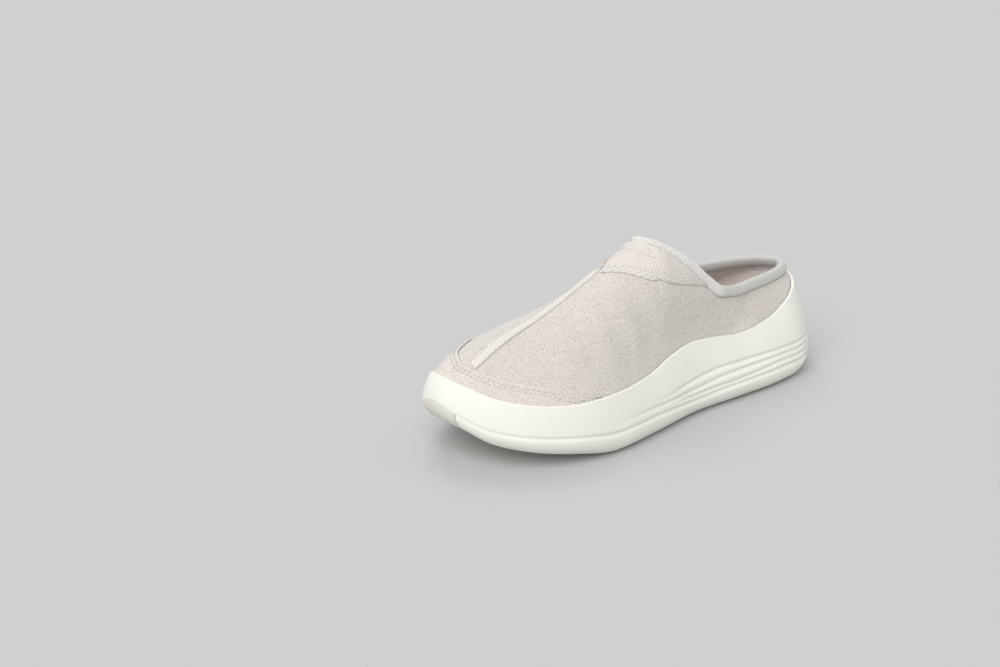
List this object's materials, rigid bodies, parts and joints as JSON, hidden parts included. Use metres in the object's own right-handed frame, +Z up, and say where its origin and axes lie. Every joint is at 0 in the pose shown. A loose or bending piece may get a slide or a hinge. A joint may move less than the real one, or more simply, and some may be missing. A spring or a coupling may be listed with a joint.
{
  "type": "sneaker mule",
  "caption": "Backless slip-on shoe, left foot: suede upper with taped seams on a one-piece foam cupsole with rubber pods under heel and toe",
  "frame": {"origin": "on the floor under the middle of the shoe's bounding box", "axes": "+Z up, +Y towards the heel, -Y towards the toe, +X towards the outer side of the left foot"},
  "size_m": [0.1088, 0.3, 0.1061],
  "materials": {
    "foam": "matt moulded foam, off-white",
    "heel_rubber": "satin",
    "toe_rubber": "satin",
    "insole_cloth": "brushed knit",
    "suede": "short-nap suede",
    "cap_suede": "short-nap suede",
    "tape_centre": "woven tape",
    "tape_outer": "woven tape",
    "tape_inner": "woven tape",
    "binding": "rolled knit binding"
  },
  "bodies": {
    "root": {"midsole": "foam", "heel_pod": "heel_rubber", "toe_pod": "toe_rubber", "insole": "insole_cloth", "upper": "suede", "toe_cap": "cap_suede", "centre_tape": "tape_centre", "side_tape_outer": "tape_outer", "side_tape_inner": "tape_inner", "collar_binding": "binding"}
  },
  "joints": []
}
